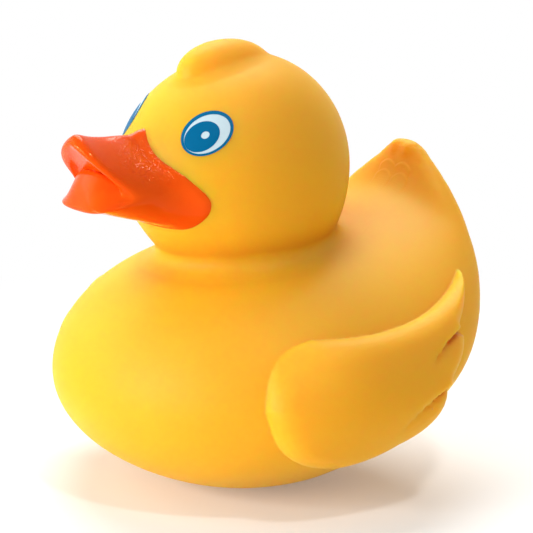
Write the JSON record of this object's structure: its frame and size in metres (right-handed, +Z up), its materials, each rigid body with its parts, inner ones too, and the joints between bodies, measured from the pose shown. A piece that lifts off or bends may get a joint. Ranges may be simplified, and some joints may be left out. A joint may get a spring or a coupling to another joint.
{
  "type": "bath duck",
  "caption": "Hollow moulded vinyl bath duck with a round head, open painted bill, raised wings, upswept tail and a vent in its flat base.",
  "frame": {"origin": "middle of the duck's footprint box, on the surface that it stands on", "axes": "+Z up out of the base, -Y out of the bill, +X out of the duck's left side"},
  "size_m": [0.079, 0.0776, 0.0803],
  "materials": {
    "vinyl": "soft yellow vinyl with a satin skin",
    "bill_paint": "glossy orange spray paint on the bill",
    "eye_print_blue": "blue pad-printed ink of the eyes",
    "eye_print_white": "white pad-printed ink of the eyes"
  },
  "bodies": {
    "root": {"duck_body": "vinyl"}
  },
  "joints": []
}
